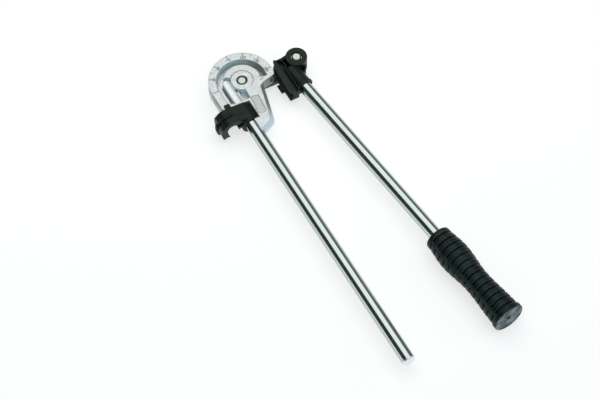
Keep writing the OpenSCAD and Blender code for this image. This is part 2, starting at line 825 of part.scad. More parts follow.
// Lower web between socket and backing rib
module rib_web_plan() {
    polygon([[rib_x, rib_web_back - shoe_rear], [rib_x, backing_front - arm_wall],
        [eye_x, arm_y - arm_wall / 2], [eye_x, eye_y],
        lever_foot + socket_end * [sin(lever_a), -cos(lever_a)]]);
}

module tube_socket() {
    mouth = socket_end - collar_len;
    root = tube_start - socket_back;
    difference() {
        union() {
            along_lever(root) cylinder(r = socket_r, h = socket_end - root);
            along_lever(mouth) cylinder(r = socket_r + collar_t, h = collar_len);
        }
        // Flat underside that clears the swing link
        translate([lever_foot[0] - 3 * socket_r, eye_y - 2 * socket_end, socket_floor - 2 * socket_r])
            cube([6 * socket_r, 3 * socket_end, 2 * socket_r]);
        // Flat side that ends inside the backing rib and leaves the slot open
        translate([rib_x + rib_t / 2 - 2 * socket_r, eye_y - 2 * socket_end, socket_floor - past])
            cube([2 * socket_r, 3 * socket_end, 4 * socket_r]);
    }
}

module lever_head() {
    color("#2a2c2e") difference() {
        union() {
            translate([eye_x, eye_y, turn_z]) cylinder(r = boss_r, h = boss_h);
            boss_web();
            translate([0, 0, turn_z]) linear_extrude(height = z_mid - turn_z) rib_web_plan();
            translate([0, 0, turn_z]) linear_extrude(height = shoe_z + shoe_h - turn_z) arm_wall_plan();
            shoe_backing();
            tube_socket();
        }
        translate([eye_x, eye_y, 0]) bush_seat(boss_h);
        along_lever(tube_start) cylinder(r = tube_r + held_fit, h = socket_end);
        shoe_tongue(held_fit);
        shoe_pin_hole();
        lever_pin_hole();
    }
}

// Blind hole for the lever's cross pin, from below through socket and tube
module lever_pin_hole() {
    along_lever(lever_pin_at) rotate([-90, 0, 0]) translate([0, 0, -2 * socket_r])
        cylinder(r = cross_pin_d / 2 + held_fit, h = 2 * socket_r + lever_pin_top + held_fit);
}

// Blind hole for the lock pin, from below through the backing and the shoe's tongue
module shoe_pin_hole() {
    translate([lock_pin_x, lock_pin_y, shoe_z - past])
        cylinder(r = cross_pin_d / 2 + held_fit, h = past + tongue_up + tongue_h + run_gap);
}

module eye_bush() {
    color("darkgoldenrod") translate([eye_x, eye_y, turn_z])
        ring(bush_r, pin_r + run_fit, boss_h - counterbore_depth);
}

module eye_top_washer() {
    color("silver") translate([eye_x, eye_y, boss_top - counterbore_depth])
        ring(ring_washer_r, pin_r + run_fit, ring_washer_t);
}

// Slide shoe

module shoe_tongue(grow) {
    tongue_len = shoe_rear + backing_front - 2 * tongue_inset;
    translate([shoe_back_x - past, tongue_inset - shoe_rear - grow, tongue_z - grow])
        cube([tongue_depth + past + grow, tongue_len + 2 * grow, tongue_h + 2 * grow]);
}

module slide_shoe() {
    flare_start = shoe_front - flare_len;
    color("#303335") difference() {
        union() {
            translate([0, 0, shoe_z]) linear_extrude(height = shoe_h)
                polygon([[shoe_lip_x, flare_start], [shoe_lip_x, -shoe_rear], [shoe_back_x, -shoe_rear],
                    [shoe_back_x, (shoe_front + backing_front) / 2], [shoe_lip_x + flare_w, shoe_front]]);
            shoe_tongue(0);
            translate([shoe_lip_x - keeper_reach, flare_start - keeper_start - keeper_len, shoe_z])
                cube([keeper_reach + past, keeper_len, keeper_t]);
        }
        along_y(bend_r, shoe_front + past)
            cylinder(d = shoe_groove_d, h = shoe_front + shoe_rear + 2 * past);
        shoe_pin_hole();
    }
}

module shoe_lock_pin() {
    color("gray") translate([lock_pin_x, lock_pin_y, shoe_z])
        cylinder(d = cross_pin_d, h = tongue_up + tongue_h);
}

// Lever tube and grip

module lever_tube() {
    color("silver") difference() {
        along_lever(tube_start) ring(tube_r, tube_in, tube_lever_end - tube_start);
        lever_pin_hole();
    }
}

module lever_cross_pin() {
    color("gray") along_lever(lever_pin_at) rotate([-90, 0, 0]) translate([0, 0, socket_floor - z_mid])
        cylinder(d = cross_pin_d, h = z_mid - socket_floor + lever_pin_top);
}

function ease(t) = (1 - cos(180 * t)) / 2;
function blend(a, b, t) = a + (b - a) * ease(t);

grip_neck_at = grip_len - grip_flange_len;
// Radius of the grip at a distance from its mouth
function grip_r(s) =
    s < grip_swell_at ? blend(grip_collar_d, grip_swell_d, s / grip_swell_at) / 2 :
    s < grip_waist_at ?
        blend(grip_swell_d, grip_waist_d, (s - grip_swell_at) / (grip_waist_at - grip_swell_at)) / 2 :
        blend(grip_waist_d, grip_flare_d, (s - grip_waist_at) / (grip_neck_at - grip_waist_at)) / 2;

groove_pitch = (grip_neck_at - grip_groove_w - grip_collar_len) / (grip_grooves - 1);

module lever_grip() {
    bore_r = tube_r + held_fit;
    mouth = 2;
    collar = [[bore_r, 0], [grip_collar_d / 2 - mouth, 0], [grip_collar_d / 2, mouth],
        [grip_r(grip_collar_len / 2), grip_collar_len / 2]];
    // Each groove, and the middle of the rib behind it
    ribs = [for (i = [0:grip_grooves - 1]) let (s = grip_collar_len + i * groove_pitch) each concat([
        [grip_r(s), s],
        [grip_r(s) - grip_groove_depth, s + grip_groove_w * 0.2],
        [grip_r(s) - grip_groove_depth, s + grip_groove_w * 0.8],
        [grip_r(s + grip_groove_w), s + grip_groove_w]],
        i == grip_grooves - 1 ? [] :
            [[grip_r(s + (groove_pitch + grip_groove_w) / 2), s + (groove_pitch + grip_groove_w) / 2]])];
    edge = 1.4;
    flange = [[grip_flange_d / 2, grip_neck_at + edge],
        [grip_flange_d / 2, grip_len - edge], [grip_flange_d / 2 - edge, grip_len],
        [vent_d / 2, grip_len], [vent_d / 2, grip_len - grip_end_wall],
        [bore_r, grip_len - grip_end_wall]];
    color("#1d1e1f") along_lever(grip_start) rotate_extrude() polygon(concat(collar, ribs, flange));
}

bend_former();
pivot_bush();
pivot_top_washer();
fixed_handle_tube();
fixed_handle_plug();
handle_cross_pin();
pipe_hook();
swing_link();
pivot_pin();
pivot_retaining_ring();
pivot_thrust_washer();
eye_pin();
eye_retaining_ring();
eye_thrust_washer();
lever_head();
eye_bush();
eye_top_washer();
slide_shoe();
shoe_lock_pin();
lever_tube();
lever_cross_pin();
lever_grip();
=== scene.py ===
import json
import math

import bmesh
import bpy
from mathutils import Matrix, Vector


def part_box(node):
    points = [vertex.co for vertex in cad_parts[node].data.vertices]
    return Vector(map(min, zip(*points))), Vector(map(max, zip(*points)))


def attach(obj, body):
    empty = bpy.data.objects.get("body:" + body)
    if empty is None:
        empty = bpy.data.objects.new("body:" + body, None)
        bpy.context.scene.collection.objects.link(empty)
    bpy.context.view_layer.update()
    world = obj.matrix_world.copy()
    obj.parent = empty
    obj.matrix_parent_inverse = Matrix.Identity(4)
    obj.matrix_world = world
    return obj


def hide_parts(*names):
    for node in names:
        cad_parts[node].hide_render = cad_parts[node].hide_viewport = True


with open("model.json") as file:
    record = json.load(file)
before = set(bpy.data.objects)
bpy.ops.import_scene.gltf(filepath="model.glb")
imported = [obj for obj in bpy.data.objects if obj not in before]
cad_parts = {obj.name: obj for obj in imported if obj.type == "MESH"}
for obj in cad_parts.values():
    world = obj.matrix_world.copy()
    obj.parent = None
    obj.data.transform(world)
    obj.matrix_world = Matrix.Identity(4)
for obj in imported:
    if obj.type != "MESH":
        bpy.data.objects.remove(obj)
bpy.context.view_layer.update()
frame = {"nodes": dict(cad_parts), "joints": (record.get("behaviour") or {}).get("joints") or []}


# Bend former: the half-round body with the groove in its rim, a kidney recess, a finger rib and a shank.
# It is one aluminium casting, tumbled bright on its flat faces and left as cast on its walls.
# It holds the pivot bush in its hub and the handle tube in its saddle.
mm = 0.001
joint_at = {joint["name"]: Vector(joint["pos_m"]) for joint in frame["joints"]}
pivot = joint_at["link_swing"]
former_half = 8 * mm
former_top = pivot.z + former_half
recess_radius = 28.65 * mm
recess_inside = 21.5 * mm
recess_foot = -22 * mm
recess_soft = 2.4 * mm
shank_from = -3 * mm
shank_side = 9 * mm
shank_foot = -52 * mm
saddle_side = -8 * mm
groove_side = 30 * mm
low_web_side = -12 * mm
low_web_soft = 3 * mm
low_web_from = -24 * mm
hub_foot = -8 * mm
finger_middle = -16.7 * mm
finger_half = 3.9 * mm
finger_sink = 1.4 * mm
pad_from = -13.2 * mm
pad_height = 0.6 * mm


def new_piece(name, data):
    """A new object in the scene, from a mesh, a lettering curve, a lamp or a camera."""
    piece = bpy.data.objects.new(name, data)
    bpy.context.scene.collection.objects.link(piece)
    return piece


def settle(piece):
    """Applies the piece's modifiers to its mesh and shades it smooth."""
    graph = bpy.context.evaluated_depsgraph_get()
    made = bpy.data.meshes.new_from_object(piece.evaluated_get(graph))
    piece.modifiers.clear()
    piece.data = made
    made.shade_smooth()


def rounded_copy(node, name, voxel, passes, share, softer=()):
    """The node's own shape as a new piece, with every edge softened as on a casting or a moulding.

    Each softer entry is a number of more passes and a test that says which places get them.
    """
    piece = new_piece(name, frame["nodes"][node].data.copy())
    remesh = piece.modifiers.new("even_skin", "REMESH")
    remesh.mode = "VOXEL"
    remesh.voxel_size = voxel
    settle(piece)
    for count, is_soft in [(passes, lambda spot: True), *softer]:
        area = piece.vertex_groups.new(name="soft_area")
        area.add([point.index for point in piece.data.vertices if is_soft(point.co)], 1, "REPLACE")
        soften = piece.modifiers.new("soft_edges", "SMOOTH")
        soften.factor = 0.5
        soften.iterations = count
        soften.vertex_group = area.name
    thin = piece.modifiers.new("fewer_faces", "DECIMATE")
    thin.ratio = share
    settle(piece)
    piece.vertex_groups.clear()
    return piece


def coat(mesh, finish):
    """Gives a mesh one finish all over."""
    mesh.materials.clear()
    mesh.materials.append(finish)


def belongs(piece, body, slot, *nodes):
    """Says which body the piece rides on and which nodes it stands for, which it hides; the slot argument
    is not used.
    """
    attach(piece, body)
    if nodes:
        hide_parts(*nodes)


def add_node(tree, kind, **sockets):
    """A shader node with some of its inputs set; an underscore in a name stands for a space."""
    node = tree.nodes.new("ShaderNode" + kind)
    for name, value in sockets.items():
        node.inputs[name.replace("_", " ")].default_value = value
    return node


def new_group(name, inputs, outputs):
    """An empty shader node group with float inputs, as (name, value) pairs, and float outputs."""
    group = bpy.data.node_groups.new(name, "ShaderNodeTree")
    for title, value in inputs:
        socket = group.interface.new_socket(title, in_out="INPUT", socket_type="NodeSocketFloat")
        socket.default_value = value
    for title in outputs:
        group.interface.new_socket(title, in_out="OUTPUT", socket_type="NodeSocketFloat")
    return group, group.nodes.new("NodeGroupInput").outputs, group.nodes.new("NodeGroupOutput").inputs


def place_group(tree, group, **sockets):
    """Puts a node group into a material, with its own values."""
    node = tree.nodes.new("ShaderNodeGroup")
    node.node_tree = group
    for name, value in sockets.items():
        node.inputs[name].default_value = value
    return node.outputs


def feed(tree, socket, value):
    """Links another node's output to a socket, or sets a plain number or colour on it."""
    if isinstance(value, bpy.types.NodeSocket):
        tree.links.new(value, socket)
    else:
        socket.default_value = value


def steps(tree, value, low, high, low_out=0.0, high_out=1.0):
    """Maps a value smoothly from the range low to high onto another range."""
    node = add_node(tree, "MapRange", From_Min=low, From_Max=high, To_Min=low_out, To_Max=high_out)
    node.interpolation_type = "SMOOTHSTEP"
    tree.links.new(value, node.inputs["Value"])
    return node.outputs["Result"]


def mix_colours(tree, mask, first, second):
    """A colour that goes from the first to the second as the mask goes from 0 to 1."""
    node = tree.nodes.new("ShaderNodeMix")
    node.data_type = "RGBA"
    tree.links.new(mask, node.inputs["Factor"])
    for title, colour in (("A", first), ("B", second)):
        feed(tree, node.inputs[title], (*colour, 1) if isinstance(colour, tuple) else colour)
    return node.outputs["Result"]


def calculate(tree, operation, *values):
    """A math node's result from links and numbers."""
    node = tree.nodes.new("ShaderNodeMath")
    node.operation = operation
    for socket, value in zip(node.inputs, values):
        feed(tree, socket, value)
    return node.outputs["Value"]


def all_of(tree, mask, *others):
    """One mask out of several: their product."""
    for other in others:
        mask = calculate(tree, "MULTIPLY", mask, other)
    return mask


def coordinates(tree, kind):
    """The X, Y and Z of one of the texture coordinates."""
    split = tree.nodes.new("ShaderNodeSeparateXYZ")
    tree.links.new(tree.nodes.new("ShaderNodeTexCoord").outputs[kind], split.inputs["Vector"])
    return split.outputs


def new_finish(name):
    """A material with its node tree and its shader."""
    material = bpy.data.materials.new(name)
    material.use_nodes = True
    return material, material.node_tree, material.node_tree.nodes["Principled BSDF"]


def raise_bump(tree, shader, height, strength, distance):
    """Feeds a height into the shader's normal."""
    bump = add_node(tree, "Bump", Strength=strength, Distance=distance)
    tree.links.new(height, bump.inputs["Height"])
    tree.links.new(bump.outputs["Normal"], shader.inputs["Normal"])


def speckle_group():
    """Fine grain with scattered pits, as on tumbled castings and moulded skins."""
    sizes = [("Grain", 900), ("Pits", 500)]
    group, inside, outside = new_group("speckle", sizes, ["Grain", "Pits", "Height"])
    place = group.nodes.new("ShaderNodeTexCoord").outputs["Object"]
    fine = add_node(group, "TexNoise", Detail=4, Roughness=0.6)
    cells = add_node(group, "TexVoronoi")
    for texture, title in ((fine, "Grain"), (cells, "Pits")):
        group.links.new(place, texture.inputs["Vector"])
        group.links.new(inside[title], texture.inputs["Scale"])
    grain = steps(group, fine.outputs["Fac"], 0.32, 0.68)
    pits = steps(group, cells.outputs["Distance"], 0.34, 0.16)
    group.links.new(grain, outside["Grain"])
    group.links.new(pits, outside["Pits"])
    group.links.new(calculate(group, "SUBTRACT", grain, pits), outside["Height"])
    return group


def worn_edge_group():
    """Masks of the proud edges, where wear and painted highlights go, and of the hollows, where painted
    shade goes.
    """
    level_bend = 0.5
    group, inside, outside = new_group("wear_sheen_and_shade", [("Reach", 0.06)], ["Edge", "Hollow"])
    bend = group.nodes.new("ShaderNodeNewGeometry").outputs["Pointiness"]
    for title, sign in (("Edge", 1), ("Hollow", -1)):
        away = calculate(group, "MULTIPLY_ADD", bend, sign, -level_bend * sign)
        share = calculate(group, "DIVIDE", away, inside["Reach"])
        share.node.use_clamp = True
        group.links.new(share, outside[title])
    return group


speckle = speckle_group()
wear_sheen_and_shade = worn_edge_group()


def cast_aluminium():
    """Tumbled aluminium: bright speckled faces, and walls that keep the mould's skin.

    The walls' pale blue is a painted reflection of bluish light, and the walls are darkened with painted
    shade towards the lever's side and wherever they are closely surrounded.
    """
    face_light = (0.82, 0.86, 0.84)
    # Wall tones: a pale blue that is a painted reflection, and a dark olive that is painted shade.
    face_dark = (0.60, 0.635, 0.615)
    wall_blue_reflection = (0.77, 0.90, 0.96)
    wall_painted_shade = (0.34, 0.40, 0.34)
    pit_tone = (0.26, 0.26, 0.25)
    rubbed = (0.90, 0.90, 0.90)
    # Painted highlight on the finger rib's crown.
    finger_highlight = (0.96, 0.97, 0.97)
    finger_highlight_share = 0.7
    pad_tone = (0.45, 0.47, 0.43)
    pad_share = 0.6
    # Reach and place of the painted shade on the walls.
    shade_within = 40 * mm
    shade_slant = -0.4
    shade_across = (1 * mm, 25 * mm)
    shade_along = (-58 * mm, -40 * mm)
    material, tree, shader = new_finish("cast_aluminium")
    grain = place_group(tree, speckle, Grain=1100, Pits=620)
    edges = place_group(tree, wear_sheen_and_shade, Reach=0.10)
    spot = coordinates(tree, "Object")
    upright = calculate(tree, "ABSOLUTE", coordinates(tree, "Normal")["Z"])
    is_face = steps(tree, upright, 0.7, 0.985)
    # Painted shade: an ambient occlusion mask darkens closely surrounded walls.
    around = add_node(tree, "AmbientOcclusion", Distance=shade_within)
    enclosed_shade = steps(tree, around.outputs["AO"], 0.21, 0.07, 0, 0.9)
    # Painted shade: walls towards the lever's side are darkened.
    slanting = calculate(tree, "MULTIPLY_ADD", spot["Y"], shade_slant, spot["X"])
    lever_side_shade = all_of(tree, steps(tree, slanting, *shade_across), steps(tree, spot["Y"], *shade_along))
    wall = mix_colours(tree, calculate(tree, "MAXIMUM", lever_side_shade, enclosed_shade), wall_blue_reflection, wall_painted_shade)
    face = mix_colours(tree, grain["Grain"], face_dark, face_light)
    # Painted highlight: the finger rib's crown is painted paler, as if its top caught the light flat.
    from_finger = calculate(tree, "ABSOLUTE", calculate(tree, "SUBTRACT", spot["X"], finger_middle))
    on_finger = all_of(
        tree,
        steps(tree, from_finger, finger_half + 0.6 * mm, finger_half),
        steps(tree, spot["Y"], low_web_from, low_web_from + mm),
        steps(tree, spot["Z"], former_top - mm, former_top - finger_sink),
        finger_highlight_share,
    )
    face = mix_colours(tree, on_finger, face, finger_highlight)
    on_pad = all_of(
        tree,
        steps(tree, spot["Z"], former_top + 0.4 * pad_height, former_top + 0.7 * pad_height),
        steps(tree, spot["Y"], pad_from, pad_from - 0.5 * mm),
        pad_share,
    )
    face = mix_colours(tree, on_pad, face, pad_tone)
    colour = mix_colours(tree, is_face, wall, face)
    colour = mix_colours(tree, steps(tree, grain["Pits"], 0, 1, 0, 0.5), colour, pit_tone)
    handled = steps(tree, is_face, 0, 1, 0.1, 0.6)
    rub = all_of(tree, steps(tree, edges["Edge"], 0.2, 1), handled)
    colour = mix_colours(tree, rub, colour, rubbed)
    tree.links.new(colour, shader.inputs["Base Color"])
    tree.links.new(steps(tree, grain["Grain"], 0, 1, 0.5, 0.38), shader.inputs["Roughness"])
    tree.links.new(steps(tree, is_face, 0, 1, 0.5, 0.9), shader.inputs["Metallic"])
    raise_bump(tree, shader, grain["Height"], strength=0.25, distance=0.05 * mm)
    return material


def by_recess(spot):
    """The recess's outer edge, which the mould rounds most: an arc, then straight down the channel."""
    out = spot.xy.length if spot.y > 0 else -spot.x
    return abs(out - recess_radius) < recess_soft and spot.z > pivot.z and spot.y > recess_foot


def by_shank(spot):
    """The shank's sloping sides and its end."""
    on_slope = spot.y < shank_from and spot.x > shank_side and spot.xy.length < groove_side
    at_end = spot.y < shank_foot and spot.x > saddle_side
    return on_slope or at_end


def inside_recess(spot):
    """Everything within the recess: the finger rib, the pockets and the hub's foot."""
    return spot.xy.length < recess_inside and spot.z > pivot.z and spot.y > recess_foot


def by_low_web(spot):
    """The seam where the low web runs into the finger rib without an edge."""
    at_seam = abs(spot.x - low_web_side) < low_web_soft
    return at_seam and low_web_from < spot.y < hub_foot and spot.z > pivot.z


softer = [(70, by_recess), (70, by_shank), (10, inside_recess), (15, by_low_web)]
former = rounded_copy("bend_former", "former_casting", voxel=0.32 * mm, passes=6, share=0.35, softer=softer)
coat(former.data, cast_aluminium())
belongs(former, "frame", "cast_aluminium", "bend_former")


# Degree scale: lines and plain numbers stamped into the former's rim and filled with dark paint.
# The long line at zero lies where the round rim starts; the numbers stand inside the lines.
mark_high = 0.03 * mm
mark_deep = 0.25 * mm
line_width = 0.92 * mm
rim_line = (33.4 * mm, 37.0 * mm)
short_line = (35.0 * mm, 37.0 * mm)
zero_line = (29.6 * mm, 37.0 * mm)
number_radius = 31.2 * mm
number_size = 4.8 * mm
number_bold = 0.13 * mm
numbered = (30, 60, 90, 120, 150, 180)
half_steps = (45, 135)
end_mark = (Vector((18.2, -9.6, 0)) * mm, Vector((22.4, -8.6, 0)) * mm)


def scale_direction(degrees):
    """Direction of a scale line from the pivot: zero points to the groove's straight side."""
    turn = math.radians(180 - degrees)
    return Vector((math.cos(turn), math.sin(turn), 0))


def stamped_line(shape, start, end):
    """Adds one filled line between two places on the top face."""
    along = (end - start).normalized()
    across = Vector((-along.y, along.x, 0)) * line_width / 2
    corners = [start - across, end - across, end + across, start + across]
    low = [shape.verts.new((corner.x, corner.y, former_top - mark_deep)) for corner in corners]
    high = [shape.verts.new((corner.x, corner.y, former_top + mark_high)) for corner in corners]
    shape.faces.new(high)
    shape.faces.new(low[::-1])
    for i in range(4):
        shape.faces.new((low[i], low[i - 3], high[i - 3], high[i]))


def scale_line(shape, degrees, inner, outer):
    """Adds one filled line that points away from the pivot, between two radii."""
    toward = scale_direction(degrees)
    stamped_line(shape, toward * inner, toward * outer)


def stamped_number(shape, degrees):
    """Adds one filled number, with its top towards the rim."""
    curve = bpy.data.curves.new("number", "FONT")
    curve.body = str(degrees)
    curve.size = number_size
    curve.align_x = "CENTER"
    curve.align_y = "CENTER"
    curve.extrude = (mark_deep + mark_high) / 2
    curve.offset = number_bold
    writer = new_piece("number", curve)
    graph = bpy.context.evaluated_depsgraph_get()
    mesh = bpy.data.meshes.new_from_object(writer.evaluated_get(graph))
    place = pivot + scale_direction(degrees) * number_radius
    place.z = former_top + (mark_high - mark_deep) / 2
    mesh.transform(Matrix.Translation(place) @ Matrix.Rotation(math.radians(90 - degrees), 4, "Z"))
    shape.from_mesh(mesh)
    bpy.data.objects.remove(writer)
    bpy.data.curves.remove(curve)
    bpy.data.meshes.remove(mesh)


def mark_paint():
    """Dark filling in the stamped lines, patchy where it has rubbed off."""
    paint_whole = (0.10, 0.10, 0.075)
    paint_rubbed = (0.22, 0.22, 0.17)
    material, tree, shader = new_finish("mark_paint")
    grain = place_group(tree, speckle, Grain=1600, Pits=900)
    colour = mix_colours(tree, grain["Grain"], paint_whole, paint_rubbed)
    tree.links.new(colour, shader.inputs["Base Color"])
    shader.inputs["Roughness"].default_value = 0.6
    return material


scale_shape = bmesh.new()
for degrees in numbered:
    scale_line(scale_shape, degrees, *rim_line)
    stamped_number(scale_shape, degrees)
for degrees in half_steps:
    scale_line(scale_shape, degrees, *short_line)
scale_line(scale_shape, 0, *zero_line)
stamped_line(scale_shape, *end_mark)
scale_mesh = bpy.data.meshes.new("degree_scale")
scale_shape.to_mesh(scale_mesh)
scale_shape.free()
coat(scale_mesh, mark_paint())
degree_scale = new_piece("degree_scale", scale_mesh)
belongs(degree_scale, "frame", "cast_aluminium")


# Bushes: two sintered bronze sleeves, pressed into the former's hub and into the lever's eye.
# Each pin turns in its bush; only the bushes' lower ends can be seen, from beneath.
def sintered_bronze():
    """Oily bronze with open pores."""
    bronze_dark = (0.50, 0.34, 0.15)
    bronze_light = (0.66, 0.48, 0.25)
    pore_tone = (0.16, 0.10, 0.05)
    material, tree, shader = new_finish("sintered_bronze")
    grain = place_group(tree, speckle, Grain=2200, Pits=1500)
    colour = mix_colours(tree, grain["Grain"], bronze_dark, bronze_light)
    colour = mix_colours(tree, grain["Pits"], colour, pore_tone)
    tree.links.new(colour, shader.inputs["Base Color"])
    tree.links.new(steps(tree, grain["Grain"], 0, 1, 0.5, 0.35), shader.inputs["Roughness"])
    shader.inputs["Metallic"].default_value = 1
    return material


def finish_nodes(material, *nodes):
    """Gives CAD nodes that keep their own shape a finish."""
    for node in nodes:
        coat(frame["nodes"][node].data, material)


finish_nodes(sintered_bronze(), "pivot_bush", "eye_bush")


# Fixed handle tube: drawn steel tube, bright plated, with its end a little drawn down for hook and saddle.
# It is pushed over the former's spigot and held by a cross pin from beneath.
tube_radius = 7.5 * mm
tube_bore = 6.0 * mm
seat_radius = 7.3 * mm
seat_length = 44.8 * mm
seat_taper = 9 * mm
tube_edge = 0.25 * mm
turned_sides = 128
turned_crease = 30
hook_axis = joint_at["hook_swing"]
handle_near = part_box("fixed_handle_tube")[1].y
handle_length = handle_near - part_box("fixed_handle_tube")[0].y
handle_start = Matrix.Translation((hook_axis.x, handle_near, hook_axis.z))
handle_place = handle_start @ Matrix.Rotation(math.pi / 2, 4, "X")


def ring_spots(radii, turns, height):
    """Places round the Z axis at one height, from their radii and the angles that they stand at."""
    flat = [(radius * math.cos(turn), radius * math.sin(turn)) for radius, turn in zip(radii, turns)]
    return [(*spot, height) for spot in flat]


def smooth_mesh(name, shape, crease):
    """A mesh from a closed shape, smooth but for edges sharper than the crease, in degrees."""
    bmesh.ops.recalc_face_normals(shape, faces=shape.faces)
    mesh = bpy.data.meshes.new(name)
    shape.to_mesh(mesh)
    shape.free()
    mesh.shade_smooth()
    mesh.set_sharp_from_angle(angle=math.radians(crease))
    return mesh


def turned(name, profile, place, closed):
    """A piece turned about its own Z axis from (radius, height) points; a closed profile makes a ring."""
    shape = bmesh.new()
    turns = [2 * math.pi * i / turned_sides for i in range(turned_sides)]
    rings = []
    for radius, height in profile:
        if radius == 0:
            rings.append([shape.verts.new((0, 0, height))] * turned_sides)
            continue
        spots = ring_spots([radius] * turned_sides, turns, height)
        rings.append([shape.verts.new(spot) for spot in spots])
    pairs = list(zip(rings, rings[1:]))
    if closed:
        pairs.append((rings[-1], rings[0]))
    for lower, upper in pairs:
        for i in range(turned_sides):
            corners = [lower[i - 1], lower[i], upper[i], upper[i - 1]]
            shape.faces.new(list(dict.fromkeys(corners)))
    piece = new_piece(name, smooth_mesh(name, shape, turned_crease))
    piece.matrix_world = place
    return piece


def drawn_line_group():
    """Fine lines along the local Z axis, left by drawing and polishing, and broad faint smears."""
    spacing = [("Across", 6000), ("Along", 25)]
    group, inside, outside = new_group("drawn_lines", spacing, ["Lines", "Smears"])
    place = group.nodes.new("ShaderNodeTexCoord").outputs["Object"]
    stretch = group.nodes.new("ShaderNodeCombineXYZ")
    for axis, title in (("X", "Across"), ("Y", "Across"), ("Z", "Along")):
        group.links.new(inside[title], stretch.inputs[axis])
    drawn = group.nodes.new("ShaderNodeVectorMath")
    drawn.operation = "MULTIPLY"
    group.links.new(place, drawn.inputs[0])
    group.links.new(stretch.outputs["Vector"], drawn.inputs[1])
    fine = add_node(group, "TexNoise", Scale=1, Detail=2)
    group.links.new(drawn.outputs["Vector"], fine.inputs["Vector"])
    broad = add_node(group, "TexNoise", Scale=60, Detail=3)
    group.links.new(place, broad.inputs["Vector"])
    group.links.new(steps(group, fine.outputs["Fac"], 0.3, 0.7), outside["Lines"])
    group.links.new(steps(group, broad.outputs["Fac"], 0.4, 0.7), outside["Smears"])
    return group


drawn_lines = drawn_line_group()


def plated_steel():
    """Bright plating over drawn tube, with fine lines along it and faint smears."""
    plate_dark = (0.53, 0.60, 0.575)
    plate_light = (0.58, 0.65, 0.62)
    plate_edge = (0.55, 0.62, 0.60, 1)
    material, tree, shader = new_finish("plated_steel")
    lines = place_group(tree, drawn_lines, Across=5000, Along=20)
    colour = mix_colours(tree, lines["Lines"], plate_dark, plate_light)
    tree.links.new(colour, shader.inputs["Base Color"])
    tree.links.new(steps(tree, lines["Smears"], 0, 1, 0.10, 0.17), shader.inputs["Roughness"])
    raise_bump(tree, shader, lines["Lines"], strength=0.03, distance=0.01 * mm)
    shader.inputs["Metallic"].default_value = 1
    shader.inputs["Specular Tint"].default_value = plate_edge
    return material


tube_steel = plated_steel()
handle_profile = [
    (tube_bore, 0),
    (seat_radius, 0),
    (seat_radius, seat_length - tube_edge),
    (seat_radius, seat_length),
    (tube_radius, seat_length + seat_taper),
    (tube_radius, seat_length + seat_taper + tube_edge),
    (tube_radius, handle_length - tube_edge),
    (tube_radius - tube_edge, handle_length),
    (tube_bore, handle_length),
]
handle_tube = turned("handle_tube", handle_profile, handle_place, closed=True)
coat(handle_tube.data, tube_steel)
belongs(handle_tube, "frame", "plated_steel", "fixed_handle_tube")


# Handle plug: a turned aluminium plug pressed into the tube's open end.
# Its cap covers the tube's cut edge and has a broad chamfer.
cap_height = 2.0 * mm
cap_chamfer = 1.0 * mm
plug_depth = 12 * mm
plug_radius = 5.97 * mm
plug_light = (0.88, 0.94, 0.94)
plug_dark = (0.76, 0.82, 0.83)


def turned_ring_group():
    """Fine rings about the local Z axis, left by a lathe tool."""
    group, inside, outside = new_group("turned_rings", [("Pitch", 4000)], ["Rings"])
    place = coordinates(group, "Object")
    flat = group.nodes.new("ShaderNodeCombineXYZ")
    group.links.new(place["X"], flat.inputs["X"])
    group.links.new(place["Y"], flat.inputs["Y"])
    radius = group.nodes.new("ShaderNodeVectorMath")
    radius.operation = "LENGTH"
    group.links.new(flat.outputs["Vector"], radius.inputs[0])
    tool = group.nodes.new("ShaderNodeCombineXYZ")
    group.links.new(radius.outputs["Value"], tool.inputs["X"])
    group.links.new(place["Z"], tool.inputs["Z"])
    rings = add_node(group, "TexNoise", Detail=2)
    group.links.new(tool.outputs["Vector"], rings.inputs["Vector"])
    group.links.new(inside["Pitch"], rings.inputs["Scale"])
    group.links.new(steps(group, rings.outputs["Fac"], 0.3, 0.7), outside["Rings"])
    return group


turned_rings = turned_ring_group()


def turned_metal(name, light, dark, roughness):
    """Bright turned metal with the lathe tool's rings."""
    material, tree, shader = new_finish(name)
    rings = place_group(tree, turned_rings, Pitch=3500)
    grain = place_group(tree, speckle, Grain=1500, Pits=800)
    colour = mix_colours(tree, rings["Rings"], dark, light)
    colour = mix_colours(tree, steps(tree, grain["Pits"], 0, 1, 0, 0.35), colour, dark)
    tree.links.new(colour, shader.inputs["Base Color"])
    ground = steps(tree, rings["Rings"], 0, 1, roughness * 1.2, roughness * 0.85)
    tree.links.new(ground, shader.inputs["Roughness"])
    raise_bump(tree, shader, rings["Rings"], strength=0.12, distance=0.02 * mm)
    shader.inputs["Metallic"].default_value = 1
    return material


plug_profile = [
    (0, -plug_depth),
    (plug_radius - tube_edge, -plug_depth),
    (plug_radius, tube_edge - plug_depth),
    (plug_radius, 0),
    (tube_radius, 0),
    (tube_radius, cap_height - cap_chamfer),
    (tube_radius - cap_chamfer, cap_height),
    (0, cap_height),
]
plug_place = handle_place @ Matrix.Translation((0, 0, handle_length))
handle_plug = turned("handle_plug", plug_profile, plug_place, closed=False)
coat(handle_plug.data, turned_metal("turned_aluminium", plug_light, plug_dark, roughness=0.32))
belongs(handle_plug, "frame", "turned_aluminium", "fixed_handle_plug")


# Cross pins and lock pin: plain ground steel pins driven in from beneath.
# They hold the two tubes in casting and socket, and the shoe's tongue in the lever head.
pin_light = (0.60, 0.65, 0.60)
pin_dark = (0.46, 0.50, 0.46)
pin_steel = turned_metal("pin_steel", pin_light, pin_dark, roughness=0.28)
finish_nodes(pin_steel, "handle_cross_pin", "lever_cross_pin", "shoe_lock_pin")


